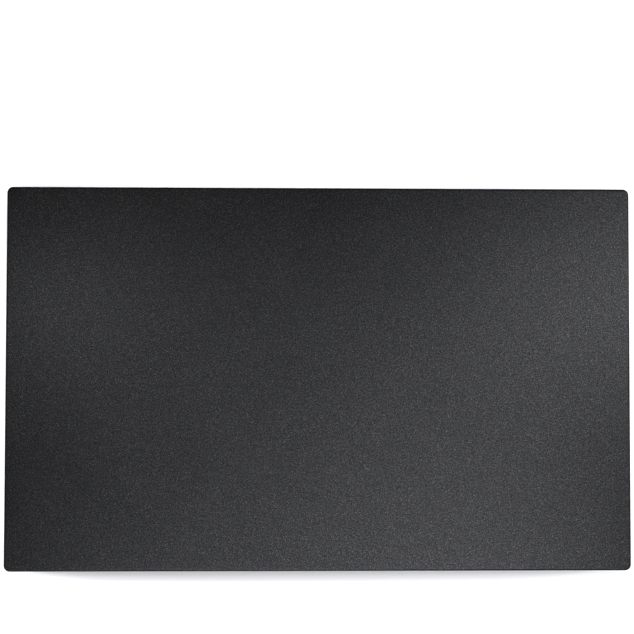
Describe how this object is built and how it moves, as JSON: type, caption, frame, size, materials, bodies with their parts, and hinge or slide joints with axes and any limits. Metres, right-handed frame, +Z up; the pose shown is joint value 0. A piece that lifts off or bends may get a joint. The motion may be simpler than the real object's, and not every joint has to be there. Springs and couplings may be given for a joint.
{
  "type": "gastronorm tray",
  "caption": "Flat rectangular display tray with rounded corners and a down-turned skirt on soft push-in feet; it fills a full gastronorm place and carries food on its flat face.",
  "frame": {"origin": "middle of the tray's plan, on the surface that its feet stand on", "axes": "+X along the tray's length, +Y across it from the front long side to the rear one, +Z up out of the serving face"},
  "size_m": [0.53, 0.325, 0.015],
  "materials": {
    "melamine_black": "black melamine, matt with a fine grain",
    "foot_rubber": "soft black silicone rubber, dull"
  },
  "bodies": {
    "root": {"tray_body": "melamine_black", "foot_front_left": "foot_rubber", "foot_front_middle": "foot_rubber", "foot_front_right": "foot_rubber", "foot_rear_left": "foot_rubber", "foot_rear_middle": "foot_rubber", "foot_rear_right": "foot_rubber"}
  },
  "joints": []
}
